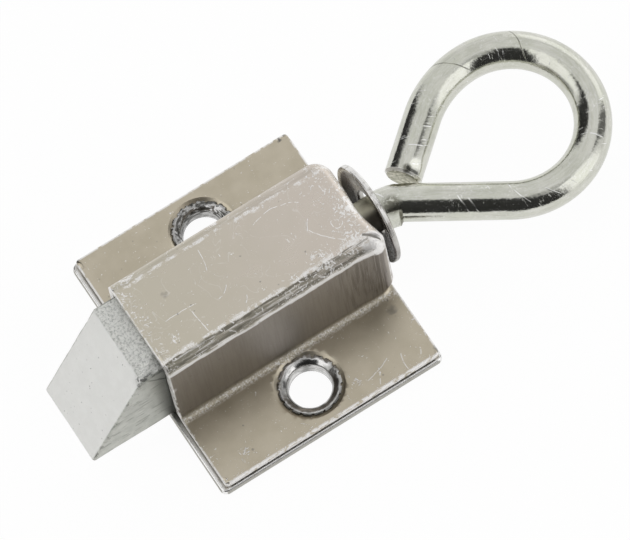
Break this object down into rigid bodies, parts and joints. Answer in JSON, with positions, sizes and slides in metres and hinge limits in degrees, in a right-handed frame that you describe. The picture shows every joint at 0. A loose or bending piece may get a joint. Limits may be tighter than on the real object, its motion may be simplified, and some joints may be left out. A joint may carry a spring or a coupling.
{
  "type": "spring loaded gate latch",
  "caption": "Spring loaded gate latch: a bevelled bolt in a pressed case with screw flanges, drawn back by a wire finger ring against a spring.",
  "frame": {"origin": "centre of the case's footprint on the mounting face, which is the back of the back plate", "axes": "+Z away from the gate, +X the way the bolt shoots, +Y along the line of the two screw holes"},
  "size_m": [0.1038, 0.0482, 0.0229],
  "materials": {
    "case_plating": "satin nickel tone, drawn sheet",
    "plate_plating": "bright zinc plated sheet",
    "eyelet_steel": "bright rolled steel",
    "bolt_zinc": "cast zinc alloy, zinc plated, satin with drag marks",
    "wire_zinc": "glossy zinc plated wire",
    "washer_zinc": "zinc plated sheet",
    "spring_steel": "plain spring wire"
  },
  "bodies": {
    "housing": {"case": "case_plating", "back_plate": "plate_plating", "eyelet_left": "eyelet_steel", "eyelet_right": "eyelet_steel", "spring": "spring_steel"},
    "draw_bolt": {"bolt": "bolt_zinc", "pull_ring": "wire_zinc", "stop_washer": "washer_zinc"}
  },
  "joints": [
    {"name": "bolt_slide", "type": "slide", "parent": "housing", "child": "draw_bolt", "axis": [1, 0, 0], "range_m": [-0.0155, 0], "stiffness_N_per_m": 1980, "springref_m": 0.0068, "deforming": ["spring"]}
  ]
}
